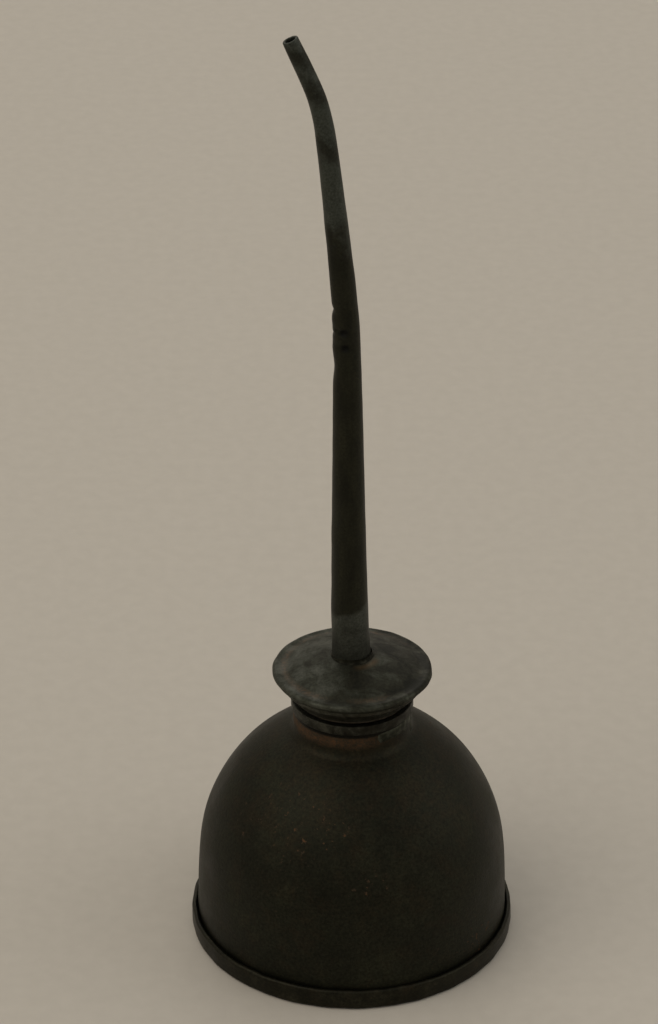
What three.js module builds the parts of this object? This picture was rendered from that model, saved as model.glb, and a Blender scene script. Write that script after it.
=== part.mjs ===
// Bottom-press oiler can: a drawn steel bell with a flexing bottom, and a screw cap with a long spout.
// Units are millimetres and +Z is up. The origin is the centre of the face that the rolled rim stands on.
// The spout's tip leans to -X, and the screw thread is right-handed.
import * as THREE from "three";

// Driving dimensions
const RIM_RADIUS = 23.8125; // a 1 7/8 inch base
const SHEET = 0.45; // thickness of the body and bottom sheet
const FIT = 0.1; // gap between pieces that are clinched, soldered or pressed together
const RUN = 0.3; // gap between pieces that move past each other

// Rolled rim, a channel that holds the foot of the body's wall
const RIM_HEIGHT = 3.2;
const RIM_ROLL = 0.8; // thickness of the outer roll
const RIM_LEG = 0.4; // thickness of the inner leg
const RIM_LEG_TOP = 2.9;
const RIM_FLOOR = 0.95; // height of the channel's floor
const RIM_CORNER = 0.6; // radius of the bead's round corners

// Body wall, dome and neck
const WALL_FOOT_RADIUS = RIM_RADIUS - RIM_ROLL - FIT;
const WALL_BELLY = new THREE.Vector2(22.9, 10);
const WALL_TOP = new THREE.Vector2(22.48, 14);
const DOME_REACH = 9.2; // pull of the dome's curve along the wall
const SHOULDER_REACH = 7.55; // pull of the dome's curve along the shoulder
const SHOULDER_SLOPE = 26.6; // degrees
const NECK_RADIUS = 8.6;
const NECK_FILLET = 1.8;
const NECK_FOOT = 34.85;
const NECK_TOP = 37.35;

// Flexing bottom
const BOTTOM_FOOT = 1.15; // middle of the sheet, where the diaphragm meets the rim
const PANEL_RADIUS = 8;
const PANEL_RISE = 1.75;
const PANEL_BEAD_RADIUS = 6;
const PANEL_BEAD_WIDTH = 1;
const PANEL_BEAD_DEPTH = 0.5;
const RIPPLE_COUNT = 2;
const RIPPLE_STEPS = 4; // points in one ripple
const RIPPLE_HEIGHT = 0.3;

// Neck bushing and its thread
const BAND_RADIUS = 8.9;
const BAND_TOP = 38.95;
const SPIGOT_FOOT = 34.2;
const THREAD_PITCH = 1.27; // 20 turns to the inch
const THREAD_DEPTH = 0.5;
const THREAD_RADIUS = 7.1; // crest of the cap's thread
const THREAD_ROWS = 4; // rows of points in one pitch

// Cap
const GASKET_RADIUS = 8.2;
const GASKET_BORE = 7.4;
const GASKET_THICKNESS = 0.6;
const SEAT_RADIUS = 8.8;
const SEAT_HEIGHT = BAND_TOP + GASKET_THICKNESS + 2 * FIT;
const FLARE_RADIUS = 10.3;
const FLARE_RISE = 1.75;
const SCREW_TOP = 42.9;
const SHANK_FOOT = 34.7;
const SHANK_TOP = 39;
const SHANK_BORE = 5.4;
const PLATE_RADIUS = 11.6;
const PLATE_HEM_RADIUS = 11;
const PLATE_HEM = 42.45; // height of the hem's lower edge
const PLATE_EDGE = 43.15; // height of the plate's widest point
const PLATE_CORNER = 0.65;
const PLATE_SHEET = 0.5;
const CROWN_FOOT = new THREE.Vector2(10.5, 43.75);
const CROWN_PULL = new THREE.Vector2(6.6, 45.1);
const CROWN_TOP = 45.85;

// Spout
const SPOUT_RADIUS = 2.79; // at the crown
const SPOUT_TIP_RADIUS = 1.12;
const SPOUT_WALL = 0.4;
const SPOUT_ROUTE = [
  [0, 43.6], [-0.35, 51.5], [-0.95, 97], [-1.25, 102.5], [-3.55, 124.8],
  [-4.2, 129.4], [-4.9, 132.2], [-6, 135.1], [-8.55, 140.9],
]; // the spout's centreline in X and Z, from inside the cap to the open tip
const SPOUT_STEPS = 24;
const SOLDER_HEIGHT = 0.9;
const SOLDER_SPREAD = 0.7;

// Solder that has run down the neck
const DRIP_THICKNESS = 0.3;
const DRIP_FOOT = 35;
const DRIP_FROM = -45; // degrees about +Z from +X
const DRIP_TO = 5;

// Smoothness: columns round a piece, and steps along a curve
const WIDE = 40;
const NARROW = 32;
const SLIM = 12;
const ARC_STEPS = 3;
const CURVE_STEPS = 6;

const LOOKS = {
  steel: { color: 0x1c1913, roughness: 0.55, metalness: 0.7 },
  zinc: { color: 0x3a3a33, roughness: 0.5, metalness: 0.8 },
  solder: { color: 0x6a6a62, roughness: 0.45, metalness: 0.9 },
  leather: { color: 0x14110c, roughness: 0.9, metalness: 0 },
};

const point = (radius, height) => new THREE.Vector2(radius, height);

/** Points on an arc about a centre, from one angle to another in degrees. */
function arc(centre, size, from, to) {
  return Array.from({ length: ARC_STEPS + 1 }, (_, i) => {
    const angle = THREE.MathUtils.degToRad(THREE.MathUtils.lerp(from, to, i / ARC_STEPS));
    return point(centre.x + size * Math.cos(angle), centre.y + size * Math.sin(angle));
  });
}

/** A closed outline of a sheet: the path, and the path moved to its left by the sheet's thickness. */
function sheet(path, thickness) {
  const moved = path.map((here, i) => {
    const before = path[Math.max(i - 1, 0)];
    const after = path[Math.min(i + 1, path.length - 1)];
    const along = after.clone().sub(before).normalize();
    return point(here.x - thickness * along.y, here.y + thickness * along.x);
  });
  return [...path, ...moved.reverse()];
}

/** Turns an outline about +Z. It runs anticlockwise in radius and height, and is closed here. */
function turned(outline, columns) {
  const geometry = new THREE.LatheGeometry([...outline, outline[0].clone()], columns);
  return geometry.rotateX(Math.PI / 2);
}

/** A mesh of one piece, by its name and the name of its look. */
function piece(name, look, geometry) {
  const mesh = new THREE.Mesh(geometry, new THREE.MeshStandardMaterial(LOOKS[look]));
  mesh.name = name;
  return mesh;
}

/** How far out the thread stands at a point, from 0 at its root to its full depth at its crest. */
function threadHeight(x, y, z) {
  const turn = Math.atan2(y, x) - (2 * Math.PI * z) / THREAD_PITCH;
  return (THREAD_DEPTH * (1 + Math.cos(turn))) / 2;
}

/** Rows of points for a threaded wall of one radius, between two heights. */
function threadedWall(radius, from, to) {
  const rows = Math.round((Math.abs(to - from) / THREAD_PITCH) * THREAD_ROWS);
  return Array.from({ length: rows + 1 }, (_, i) => point(radius, THREE.MathUtils.lerp(from, to, i / rows)));
}

/** Moves every point of a wall of one radius out by the thread's height. */
function cutThread(geometry, radius) {
  const position = geometry.attributes.position;
  for (let i = 0; i < position.count; i += 1) {
    const [x, y, z] = position.array.slice(3 * i, 3 * i + 3);
    const here = Math.hypot(x, y);
    if (Math.abs(here - radius) < 0.001) {
      const scale = (here + threadHeight(x, y, z)) / here;
      position.setXY(i, x * scale, y * scale);
    }
  }
  return geometry;
}

/** The drawn steel bell: a tapering wall, a dome and a short neck. */
function bodyShell() {
  const neck = arc(point(NECK_RADIUS + NECK_FILLET, NECK_FOOT), NECK_FILLET, 270 - SHOULDER_SLOPE, 180);
  const shoulder = neck[0];
  const slope = THREE.MathUtils.degToRad(SHOULDER_SLOPE);
  const wall = new THREE.QuadraticBezierCurve(point(WALL_FOOT_RADIUS, RIM_HEIGHT), WALL_BELLY, WALL_TOP);
  const rise = WALL_TOP.clone().sub(WALL_BELLY).setLength(DOME_REACH).add(WALL_TOP);
  const approach = point(Math.cos(slope), -Math.sin(slope)).multiplyScalar(SHOULDER_REACH).add(shoulder);
  const dome = new THREE.CubicBezierCurve(WALL_TOP, rise, approach, shoulder);
  const path = [
    point(WALL_FOOT_RADIUS, RIM_FLOOR + FIT),
    ...wall.getPoints(ARC_STEPS),
    ...dome.getPoints(CURVE_STEPS).slice(1),
    ...neck.slice(1),
    point(NECK_RADIUS, NECK_TOP),
  ];
  return piece("body_shell", "steel", turned(sheet(path, SHEET), WIDE));
}

/** The rolled bead, a channel open at the top in which the foot of the wall is clinched. */
function bottomRim() {
  const rollBore = RIM_RADIUS - RIM_ROLL;
  const leg = WALL_FOOT_RADIUS - SHEET - FIT;
  const corner = RIM_RADIUS - RIM_CORNER;
  const lip = RIM_ROLL / 2;
  const outline = [
    point(leg - RIM_LEG, RIM_CORNER / 2),
    point(leg, 0),
    ...arc(point(corner, RIM_CORNER), RIM_CORNER, 270, 360),
    ...arc(point(RIM_RADIUS - lip, RIM_HEIGHT - lip), lip, 0, 180),
    point(rollBore, RIM_FLOOR),
    point(leg, RIM_FLOOR),
    point(leg, RIM_LEG_TOP),
    point(leg - RIM_LEG, RIM_LEG_TOP),
  ];
  return piece("bottom_rim", "steel", turned(outline, WIDE));
}

/** Height of the middle of the bottom sheet at a radius: a slope with ring ripples. */
function bottomHeight(radius, rimRadius) {
  const share = (rimRadius - radius) / (rimRadius - PANEL_RADIUS);
  const ripple = RIPPLE_HEIGHT * Math.sin(2 * Math.PI * RIPPLE_COUNT * share);
  return BOTTOM_FOOT + PANEL_RISE * share + ripple;
}

/** The rippled ring of the bottom sheet, which flexes when the panel is pressed. */
function bottomDiaphragm() {
  const rimRadius = WALL_FOOT_RADIUS - SHEET - RIM_LEG - 2 * FIT;
  const steps = RIPPLE_STEPS * RIPPLE_COUNT;
  const inner = PANEL_RADIUS + FIT;
  const path = Array.from({ length: steps + 1 }, (_, i) => {
    const radius = THREE.MathUtils.lerp(inner, rimRadius, i / steps);
    return point(radius, bottomHeight(radius, rimRadius) - SHEET / 2);
  });
  const above = path.map((here) => point(here.x, here.y + SHEET)).reverse();
  return piece("bottom_diaphragm", "steel", turned([...path, ...above], WIDE));
}

/** The stiff centre of the bottom sheet, with a pressed ring bead, where the thumb pushes. */
function pressPanel() {
  const low = BOTTOM_FOOT + PANEL_RISE - SHEET / 2;
  const below = [
    point(0, low),
    point(PANEL_BEAD_RADIUS - PANEL_BEAD_WIDTH, low),
    point(PANEL_BEAD_RADIUS, low + PANEL_BEAD_DEPTH),
    point(PANEL_BEAD_RADIUS + PANEL_BEAD_WIDTH, low),
    point(PANEL_RADIUS, low),
  ];
  const above = below.map((here) => point(here.x, here.y + SHEET)).reverse();
  const geometry = new THREE.LatheGeometry([...below, ...above], NARROW);
  return piece("press_panel", "steel", geometry.rotateX(Math.PI / 2));
}

/** The threaded bushing: a band that shows above the neck, and a spigot soldered inside it. */
function neckRing() {
  const bore = THREAD_RADIUS - THREAD_DEPTH + RUN;
  const spigot = NECK_RADIUS - SHEET - FIT;
  const outline = [
    point(spigot, SPIGOT_FOOT),
    point(spigot, NECK_TOP + FIT),
    point(BAND_RADIUS, NECK_TOP + FIT),
    point(BAND_RADIUS, BAND_TOP),
    ...threadedWall(bore, BAND_TOP, SPIGOT_FOOT),
  ];
  return piece("neck_ring", "zinc", cutThread(turned(outline, NARROW), bore));
}

/** Solder that has run down one side of the neck from the bushing. */
function neckSolder() {
  const inner = NECK_RADIUS + FIT;
  const from = THREE.MathUtils.degToRad(DRIP_FROM);
  const to = THREE.MathUtils.degToRad(DRIP_TO);
  const shape = new THREE.Shape();
  shape.absarc(0, 0, inner + DRIP_THICKNESS, from, to, false);
  shape.absarc(0, 0, inner, to, from, true);
  const depth = NECK_TOP - DRIP_FOOT;
  const settings = { depth, bevelEnabled: false, curveSegments: CURVE_STEPS };
  const geometry = new THREE.ExtrudeGeometry(shape, settings);
  geometry.translate(0, 0, DRIP_FOOT);
  return piece("neck_solder", "solder", geometry);
}

/** The leather washer between the bushing and the cap. */
function gasket() {
  const low = BAND_TOP + FIT;
  const high = low + GASKET_THICKNESS;
  const outline = [
    point(GASKET_BORE, low),
    point(GASKET_RADIUS, low),
    point(GASKET_RADIUS, high),
    point(GASKET_BORE, high),
  ];
  return piece("gasket", "leather", turned(outline, NARROW));
}

/** The cap's turned piece: a threaded shank with a bore, a seat for the washer and a flare. */
function capScrewShell() {
  const root = THREAD_RADIUS - THREAD_DEPTH;
  const relief = root - FIT;
  const flareTop = SEAT_HEIGHT + FLARE_RISE;
  const outline = [
    ...threadedWall(root, SHANK_FOOT, SHANK_TOP),
    point(relief, SHANK_TOP + FIT),
    point(relief, SEAT_HEIGHT),
    point(SEAT_RADIUS, SEAT_HEIGHT),
    point(FLARE_RADIUS, flareTop),
    point(FLARE_RADIUS, SCREW_TOP),
    point(SHANK_BORE, SCREW_TOP),
    point(SHANK_BORE, SHANK_FOOT),
  ];
  return piece("cap_screw_shell", "zinc", cutThread(turned(outline, NARROW), root));
}

/** The domed plate of the cap, with a rolled hem round its edge and a hole for the spout. */
function capTopPlate() {
  const hole = point(SPOUT_RADIUS + 2 * FIT, CROWN_TOP);
  const crown = new THREE.QuadraticBezierCurve(CROWN_FOOT, CROWN_PULL, hole);
  const path = [
    point(PLATE_HEM_RADIUS, PLATE_HEM),
    ...arc(point(PLATE_RADIUS - PLATE_CORNER, PLATE_EDGE), PLATE_CORNER, 0, 90),
    ...crown.getPoints(ARC_STEPS),
  ];
  return piece("cap_top_plate", "zinc", turned(sheet(path, PLATE_SHEET), WIDE));
}

/** The spout's centreline, from inside the cap to the tip. */
function spoutRoute() {
  const places = SPOUT_ROUTE.map(([x, z]) => new THREE.Vector3(x, 0, z));
  return new THREE.CatmullRomCurve3(places, false, "centripetal");
}

/** The tapered spout: a straight tapered tube, bent along its route. */
function spoutTube() {
  const route = spoutRoute();
  const length = route.getLength();
  const hidden = CROWN_TOP - SPOUT_ROUTE[0][1];
  const taper = (SPOUT_RADIUS - SPOUT_TIP_RADIUS) / (length - hidden);
  const outside = Array.from({ length: SPOUT_STEPS + 1 }, (_, i) => {
    const along = (length * i) / SPOUT_STEPS;
    return point(SPOUT_RADIUS - taper * (along - hidden), along);
  });
  const inside = outside.map((here) => point(here.x - SPOUT_WALL, here.y)).reverse();
  const geometry = turned([...outside, ...inside], SLIM);
  const position = geometry.attributes.position;
  for (let i = 0; i < position.count; i += 1) {
    const share = THREE.MathUtils.clamp(position.getZ(i) / length, 0, 1);
    const centre = route.getPointAt(share);
    const heading = route.getTangentAt(share);
    const x = position.getX(i);
    position.setXYZ(i, centre.x + x * heading.z, position.getY(i), centre.z - x * heading.x);
  }
  return piece("spout_tube", "steel", geometry);
}

/** The fillet of solder round the foot of the spout. */
function spoutSolder() {
  const bore = SPOUT_RADIUS + 2 * FIT;
  const foot = CROWN_TOP + FIT;
  const slope = (CROWN_TOP - CROWN_PULL.y) / (CROWN_PULL.x - bore);
  const outline = [
    point(bore, foot),
    point(bore + SOLDER_SPREAD, foot - slope * SOLDER_SPREAD),
    point(bore + SOLDER_SPREAD / 3, foot + SOLDER_HEIGHT / 3),
    point(bore + FIT, foot + SOLDER_HEIGHT),
    point(bore, foot + SOLDER_HEIGHT),
  ];
  return piece("spout_solder", "solder", turned(outline, NARROW));
}

const oiler = new THREE.Group();
oiler.add(bodyShell(), bottomRim(), bottomDiaphragm(), pressPanel(), neckRing(), neckSolder());
oiler.add(gasket(), capScrewShell(), capTopPlate(), spoutTube(), spoutSolder());

export default oiler;
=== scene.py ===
"""A bottom-press oiler can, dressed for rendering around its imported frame.

Sizes are in millimetres until a mesh is made; Blender's own units are metres. +Z is up, the can
stands on Z = 0, and the spout's tip leans to -X.
"""

import bisect
import logging
import math
from collections.abc import Callable, Sequence
from dataclasses import dataclass
from enum import Enum
from typing import Any

import bmesh
import bpy
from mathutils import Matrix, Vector, noise


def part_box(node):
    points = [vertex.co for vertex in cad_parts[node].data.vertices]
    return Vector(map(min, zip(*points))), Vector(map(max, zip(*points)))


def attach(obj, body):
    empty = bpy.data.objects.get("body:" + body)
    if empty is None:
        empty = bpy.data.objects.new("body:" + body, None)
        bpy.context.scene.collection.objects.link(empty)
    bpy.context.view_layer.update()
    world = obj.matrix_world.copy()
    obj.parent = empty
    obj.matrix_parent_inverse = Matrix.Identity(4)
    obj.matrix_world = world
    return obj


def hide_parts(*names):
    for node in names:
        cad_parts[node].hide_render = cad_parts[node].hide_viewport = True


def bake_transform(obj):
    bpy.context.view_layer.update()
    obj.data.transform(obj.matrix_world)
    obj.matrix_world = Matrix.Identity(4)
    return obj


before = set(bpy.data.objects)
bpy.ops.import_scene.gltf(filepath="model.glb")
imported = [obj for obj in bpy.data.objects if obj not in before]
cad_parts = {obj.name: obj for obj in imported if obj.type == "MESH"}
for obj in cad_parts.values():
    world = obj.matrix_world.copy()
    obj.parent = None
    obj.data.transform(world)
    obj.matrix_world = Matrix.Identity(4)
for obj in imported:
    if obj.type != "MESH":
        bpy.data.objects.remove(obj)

MM = 0.001
# Steps round the wide pieces, the narrow ones and the spout.
FINE = 144
ROUND = 96
SLENDER = 64
# Points nearer than this, in millimetres, are one point.
WELD = 0.0005
# Edges that turn by more than this, in degrees, are shaded crisp.
CRISP = 42.0

Point = tuple[float, float]
Point3 = tuple[float, float, float]
Outline = list[Point]
Relief = Callable[[float, float, float], float]

log = logging.getLogger("oiler")


class Side(Enum):
    """Sides of the can that the spout's marks face, as degrees about +Z from +X."""

    BACK = 90.0
    LEFT = 180.0


def linear(colour: str) -> tuple[float, float, float, float]:
    """Turns an sRGB hex colour to linear.

    Args:
        colour: Six hex digits after a hash.

    Returns:
        Linear red, green, blue and an alpha of 1.
    """
    shares = [int(colour[i : i + 2], 16) / 255 for i in (1, 3, 5)]
    red, green, blue = (s / 12.92 if s <= 0.04045 else ((s + 0.055) / 1.055) ** 2.4 for s in shares)
    return red, green, blue, 1.0


def per(size: float) -> float:
    """Scale of a texture whose pattern repeats about every size millimetres."""
    return 1 / (size * MM)


def mix(low: float, high: float, share: float) -> float:
    """The number a share of the way from low to high."""
    return low + (high - low) * share


def smooth(share: float) -> float:
    """A smooth step from 0 to 1 as share goes from 0 to 1."""
    share = min(max(share, 0.0), 1.0)
    return share * share * (3 - 2 * share)


def turn_between(first: float, second: float) -> float:
    """Smallest angle between two directions, in radians."""
    return abs((first - second + math.pi) % (2 * math.pi) - math.pi)


def bezier(controls: Sequence[Point], steps: int) -> Outline:
    """Points along a Bezier curve.

    Args:
        controls: Its control points.
        steps: Steps along it.

    Returns:
        One point more than there are steps.
    """
    points = []
    for i in range(steps + 1):
        share = i / steps
        row = list(controls)
        while len(row) > 1:
            row = [
                (mix(a[0], b[0], share), mix(a[1], b[1], share)) for a, b in zip(row, row[1:])
            ]
        points.append(row[0])
    return points


def arc(centre: Point, size: float, start: float, end: float, steps: int = 10) -> Outline:
    """Points along an arc.

    Args:
        centre: Its centre.
        size: Its radius.
        start: Angle it starts from, in degrees.
        end: Angle it ends at, in degrees.
        steps: Steps along it.

    Returns:
        One point more than there are steps.
    """
    angles = [math.radians(mix(start, end, i / steps)) for i in range(steps + 1)]
    return [(centre[0] + size * math.cos(a), centre[1] + size * math.sin(a)) for a in angles]


def line(start: Point, end: Point, steps: int) -> Outline:
    """Evenly spaced points from start to end."""
    shares = [i / steps for i in range(steps + 1)]
    return [(mix(start[0], end[0], s), mix(start[1], end[1], s)) for s in shares]


def thicken(path: Outline, thickness: float) -> Outline:
    """The closed outline of a sheet that lies to the left of a path.

    Args:
        path: Points along one face of the sheet.
        thickness: The sheet's thickness.

    Returns:
        The path, and then the other face from its end back to its start.
    """
    other = []
    for i, (radius, height) in enumerate(path):
        before = path[max(i - 1, 0)]
        after = path[min(i + 1, len(path) - 1)]
        along = Vector((after[0] - before[0], after[1] - before[1])).normalized()
        other.append((radius - thickness * along.y, height + thickness * along.x))
    return path + other[::-1]


def soften(outline: Outline, reach: float, corner: float = 25.0) -> Outline:
    """Rounds the corners of a closed outline.

    Args:
        outline: Its points in order.
        reach: How far from a corner the rounding starts.
        corner: The turn, in degrees, above which a point counts as a corner.

    Returns:
        The outline with a short curve at each corner.
    """
    most, steps = 0.45, 4
    points = []
    for i, here in enumerate(outline):
        before, after = Vector(outline[i - 1]), Vector(outline[(i + 1) % len(outline)])
        centre = Vector(here)
        back, ahead = before - centre, after - centre
        straight = math.pi - back.angle(ahead, math.pi)
        if math.degrees(straight) < corner or here[0] <= 0:
            points.append(here)
            continue
        # Two roundings may not meet on the edge between their corners.
        start = centre + back.normalized() * min(reach, back.length * most)
        end = centre + ahead.normalized() * min(reach, ahead.length * most)
        points += bezier([tuple(start), here, tuple(end)], steps)
    return points


def finish_mesh(name: str, shape: bmesh.types.BMesh) -> bpy.types.Object:
    """Turns a bmesh into a smooth-shaded object with crisp edges.

    Args:
        name: The piece's name.
        shape: The mesh, in millimetres.

    Returns:
        The object, linked to the scene, in metres.
    """
    bmesh.ops.remove_doubles(shape, verts=shape.verts, dist=WELD)
    bmesh.ops.recalc_face_normals(shape, faces=shape.faces)
    if shape.calc_volume(signed=True) < 0:
        bmesh.ops.reverse_faces(shape, faces=shape.faces)
    bmesh.ops.scale(shape, vec=(MM, MM, MM), verts=shape.verts)
    mesh = bpy.data.meshes.new(name)
    shape.to_mesh(mesh)
    shape.free()
    mesh.shade_smooth()
    mesh.set_sharp_from_angle(angle=math.radians(CRISP))
    piece = bpy.data.objects.new(name, mesh)
    bpy.context.scene.collection.objects.link(piece)
    return piece


def grid(
    name: str, rows: list[list[Vector]], closed_rows: bool = True, closed_columns: bool = True
) -> bpy.types.Object:
    """A mesh from rows of points.

    Args:
        name: The piece's name.
        rows: Rows of points, all of one length.
        closed_rows: Whether the last row meets the first.
        closed_columns: Whether the last point of a row meets the first.

    Returns:
        The object.
    """
    shape = bmesh.new()
    verts = [[shape.verts.new(place) for place in row] for row in rows]
    count, width = len(rows), len(rows[0])
    for i in range(count if closed_rows else count - 1):
        for j in range(width if closed_columns else width - 1):
            above, beside = (i + 1) % count, (j + 1) % width
            corners = verts[i][j], verts[i][beside], verts[above][beside], verts[above][j]
            shape.faces.new(corners)
    return finish_mesh(name, shape)


def revolve(
    name: str, outline: Outline, columns: int, relief: Relief | None = None
) -> bpy.types.Object:
    """Turns a closed outline about +Z.

    Args:
        name: The piece's name.
        outline: Points in radius and height. It may touch the axis.
        columns: Steps round the axis.
        relief: Gives how far a point is moved outwards, from its radius, angle and height.

    Returns:
        The object.
    """
    rows = []
    for radius, height in outline:
        row = []
        for j in range(columns):
            angle = 2 * math.pi * j / columns
            out = radius + (relief(radius, angle, height) if relief else 0.0)
            row.append(Vector((out * math.cos(angle), out * math.sin(angle), height)))
        rows.append(row)
    return grid(name, rows)


class Shader:
    """A material under construction: its nodes, added one at a time."""

    def __init__(self, name: str) -> None:
        """Starts a node material.

        Args:
            name: The material's name.
        """
        self.material = bpy.data.materials.new(name)
        self.material.use_nodes = True
        self.tree = self.material.node_tree
        self.tree.nodes.clear()
        self.place = self.add("TexCoord").node.outputs["Object"]

    def add(self, kind: str, inputs: dict[Any, Any] | None = None, **settings: Any) -> Any:
        """Adds a node with its settings and links.

        Args:
            kind: The node's type, without the words that all shader nodes start with.
            inputs: Values or output sockets, by the name or number of the input that takes them.
            **settings: The node's own properties. Stops gives a ramp's places and hex colours.

        Returns:
            The node's first output, or the node itself when it has none.
        """
        node = self.tree.nodes.new("ShaderNode" + kind)
        stops = settings.pop("stops", ())
        for key, value in settings.items():
            setattr(node, key, value)
        for place, _ in stops[2:]:
            node.color_ramp.elements.new(place)
        for element, (place, colour) in zip(node.color_ramp.elements if stops else (), stops):
            element.position = place
            element.color = linear(colour)
        for key, value in (inputs or {}).items():
            if isinstance(value, bpy.types.NodeSocket):
                self.tree.links.new(value, node.inputs[key])
            else:
                node.inputs[key].default_value = value
        return node.outputs[0] if node.outputs else node

    def close(
        self, colour: Any, metal: Any, rough: Any, relief: Any, depth: float, strength: float
    ) -> bpy.types.Material:
        """Closes the material with a shader over bumps.

        Args:
            colour: Its colour.
            metal: How metallic it is.
            rough: Its roughness.
            relief: The pattern that the bumps follow.
            depth: How deep they are, in millimetres.
            strength: How strongly they show, from 0 to 1.

        Returns:
            The material.
        """
        bumped = self.add("Bump", {"Height": relief, "Distance": depth * MM, "Strength": strength})
        shader = self.add(
            "BsdfPrincipled",
            {"Base Color": colour, "Metallic": metal, "Roughness": rough, "Normal": bumped},
        )
        self.add("OutputMaterial", {"Surface": shader})
        return self.material


@dataclass(frozen=True)
class BrownedSteel:
    """Drawn steel sheet, chemically browned and then darkened by years of oil.

    Under soft light it reads as a warm olive near-black, cloudy rather than even, browner towards
    the neck where a film of rust shows through, and peppered with pinhead rust on its upper left.
    Where the neck meets the bushing it has a strip of painted shade under the bushing's band,
    and below that an arc of rust.
    The real grit and drawing marks are about a tenth of a millimetre across. They are drawn at
    about four tenths, so that they show.
    """

    name: str = "browned_drawn_steel_under_oil"
    deep: str = "#191a11"
    middle: str = "#23241a"
    worn: str = "#313225"
    umber: str = "#33281a"
    rust: str = "#5a3a1c"
    metal: float = 0.8
    rusty_metal: float = 0.05
    roughness: float = 0.5
    cloud: float = 8.0
    grit: float = 0.42
    drawing: float = 0.35
    mottle: float = 4.5
    warmth: float = 0.42
    warm_from: float = 20.0
    warm_to: float = 36.0
    fleck: float = 0.75
    fleck_patch: float = 13.0
    flecked: float = 0.62
    fleck_centre: Point3 = (-13.0, -15.0, 26.0)
    fleck_reach: float = 15.0
    neck_rust: float = 0.0
    rust_low: float = 34.6
    rust_high: float = 36.9
    rust_fade: float = 1.2
    rust_edge: float = 0.3
    rust_right: tuple[float, float] = (6.0, 1.5)
    shade_strip: float = 0.2
    shade_dimming: float = 0.3

    def neck_marks(self, paint: Shader, axes: Any, patchy: Any) -> tuple[Any, Any]:
        """Marks the neck.

        Args:
            paint: The material.
            axes: Where the surface is, as X, Y and Z.
            patchy: A cloudy pattern that breaks the rust up.

        Returns:
            How rusty the surface is, and how much painted shade it takes under the bushing's band.
        """
        low, high = self.rust_low, self.rust_high
        limits = {"From Min": low * MM, "From Max": (low + self.rust_fade) * MM}
        climb = paint.add("MapRange", {"Value": axes["Z"], **limits})
        limits = {"From Min": high * MM, "From Max": (high - self.rust_edge) * MM}
        fall = paint.add("MapRange", {"Value": axes["Z"], **limits})
        band = paint.add("Math", {0: climb, 1: fall}, operation="MULTIPLY")
        right, left = self.rust_right
        limits = {"From Min": right * MM, "From Max": left * MM}
        leftward = paint.add("MapRange", {"Value": axes["X"], **limits})
        sided = paint.add("Math", {0: band, 1: leftward}, operation="MULTIPLY")
        limits = {"From Min": 0.34, "From Max": 0.58, "To Max": self.neck_rust}
        mottled = paint.add("MapRange", {"Value": patchy, **limits})
        rust = paint.add("Math", {0: sided, 1: mottled}, operation="MULTIPLY")
        # Painted shade: a thin strip at the top of the neck, under the bushing's band, is darkened.
        limits = {"From Min": (high - self.shade_strip) * MM, "From Max": high * MM}
        return rust, paint.add("MapRange", {"Value": axes["Z"], **limits})

    def warmed(self, paint: Shader, height: Any, colour: Any) -> Any:
        """Warms the colour in patches, where rust too thin to have a shape shows through the brown.

        Args:
            paint: The material.
            height: How high the surface is. There is more of this rust towards the neck.
            colour: Its colour without it.

        Returns:
            Its colour with it.
        """
        mottle = paint.add(
            "TexNoise",
            {"Vector": paint.place, "Scale": per(self.mottle), "Detail": 9.0, "Roughness": 0.82},
        )
        limits = {"From Min": self.warm_from * MM, "From Max": self.warm_to * MM, "To Max": 0.1}
        lift = paint.add("MapRange", {"Value": height, **limits})
        ready = paint.add("Math", {0: mottle, 1: lift}, operation="ADD")
        limits = {"From Min": 0.5, "From Max": 0.68, "To Max": self.warmth}
        thin = paint.add("MapRange", {"Value": ready, **limits})
        mixed = paint.add("Mix", {0: thin, 6: colour, 7: linear(self.umber)}, data_type="RGBA")
        return mixed.node.outputs[2]

    def flecks(self, paint: Shader) -> Any:
        """Sprinkles pinhead rust where the oil film has failed.

        Args:
            paint: The material.

        Returns:
            How rusty each fleck is.
        """
        pits = paint.add(
            "TexNoise",
            {"Vector": paint.place, "Scale": per(self.fleck), "Detail": 3.0, "Roughness": 0.6},
        )
        pit = paint.add("MapRange", {"Value": pits, "From Min": 0.62, "From Max": 0.7})
        centre = tuple(c * MM for c in self.fleck_centre)
        gap = paint.add("VectorMath", {0: paint.place, 1: centre}, operation="DISTANCE")
        far, close = self.fleck_reach * MM, self.fleck_reach / 3 * MM
        limits = {"From Min": far, "From Max": close, "To Max": 0.16}
        near = paint.add("MapRange", {"Value": gap.node.outputs["Value"], **limits})
        patches = {"Vector": paint.place, "Scale": per(self.fleck_patch), "Detail": 2.0}
        failed = paint.add("TexNoise", patches)
        ready = paint.add("Math", {0: failed, 1: near}, operation="ADD")
        limits = {"From Min": self.flecked, "From Max": self.flecked + 0.1}
        patch = paint.add("MapRange", {"Value": ready, **limits})
        return paint.add("Math", {0: pit, 1: patch}, operation="MULTIPLY")

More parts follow.
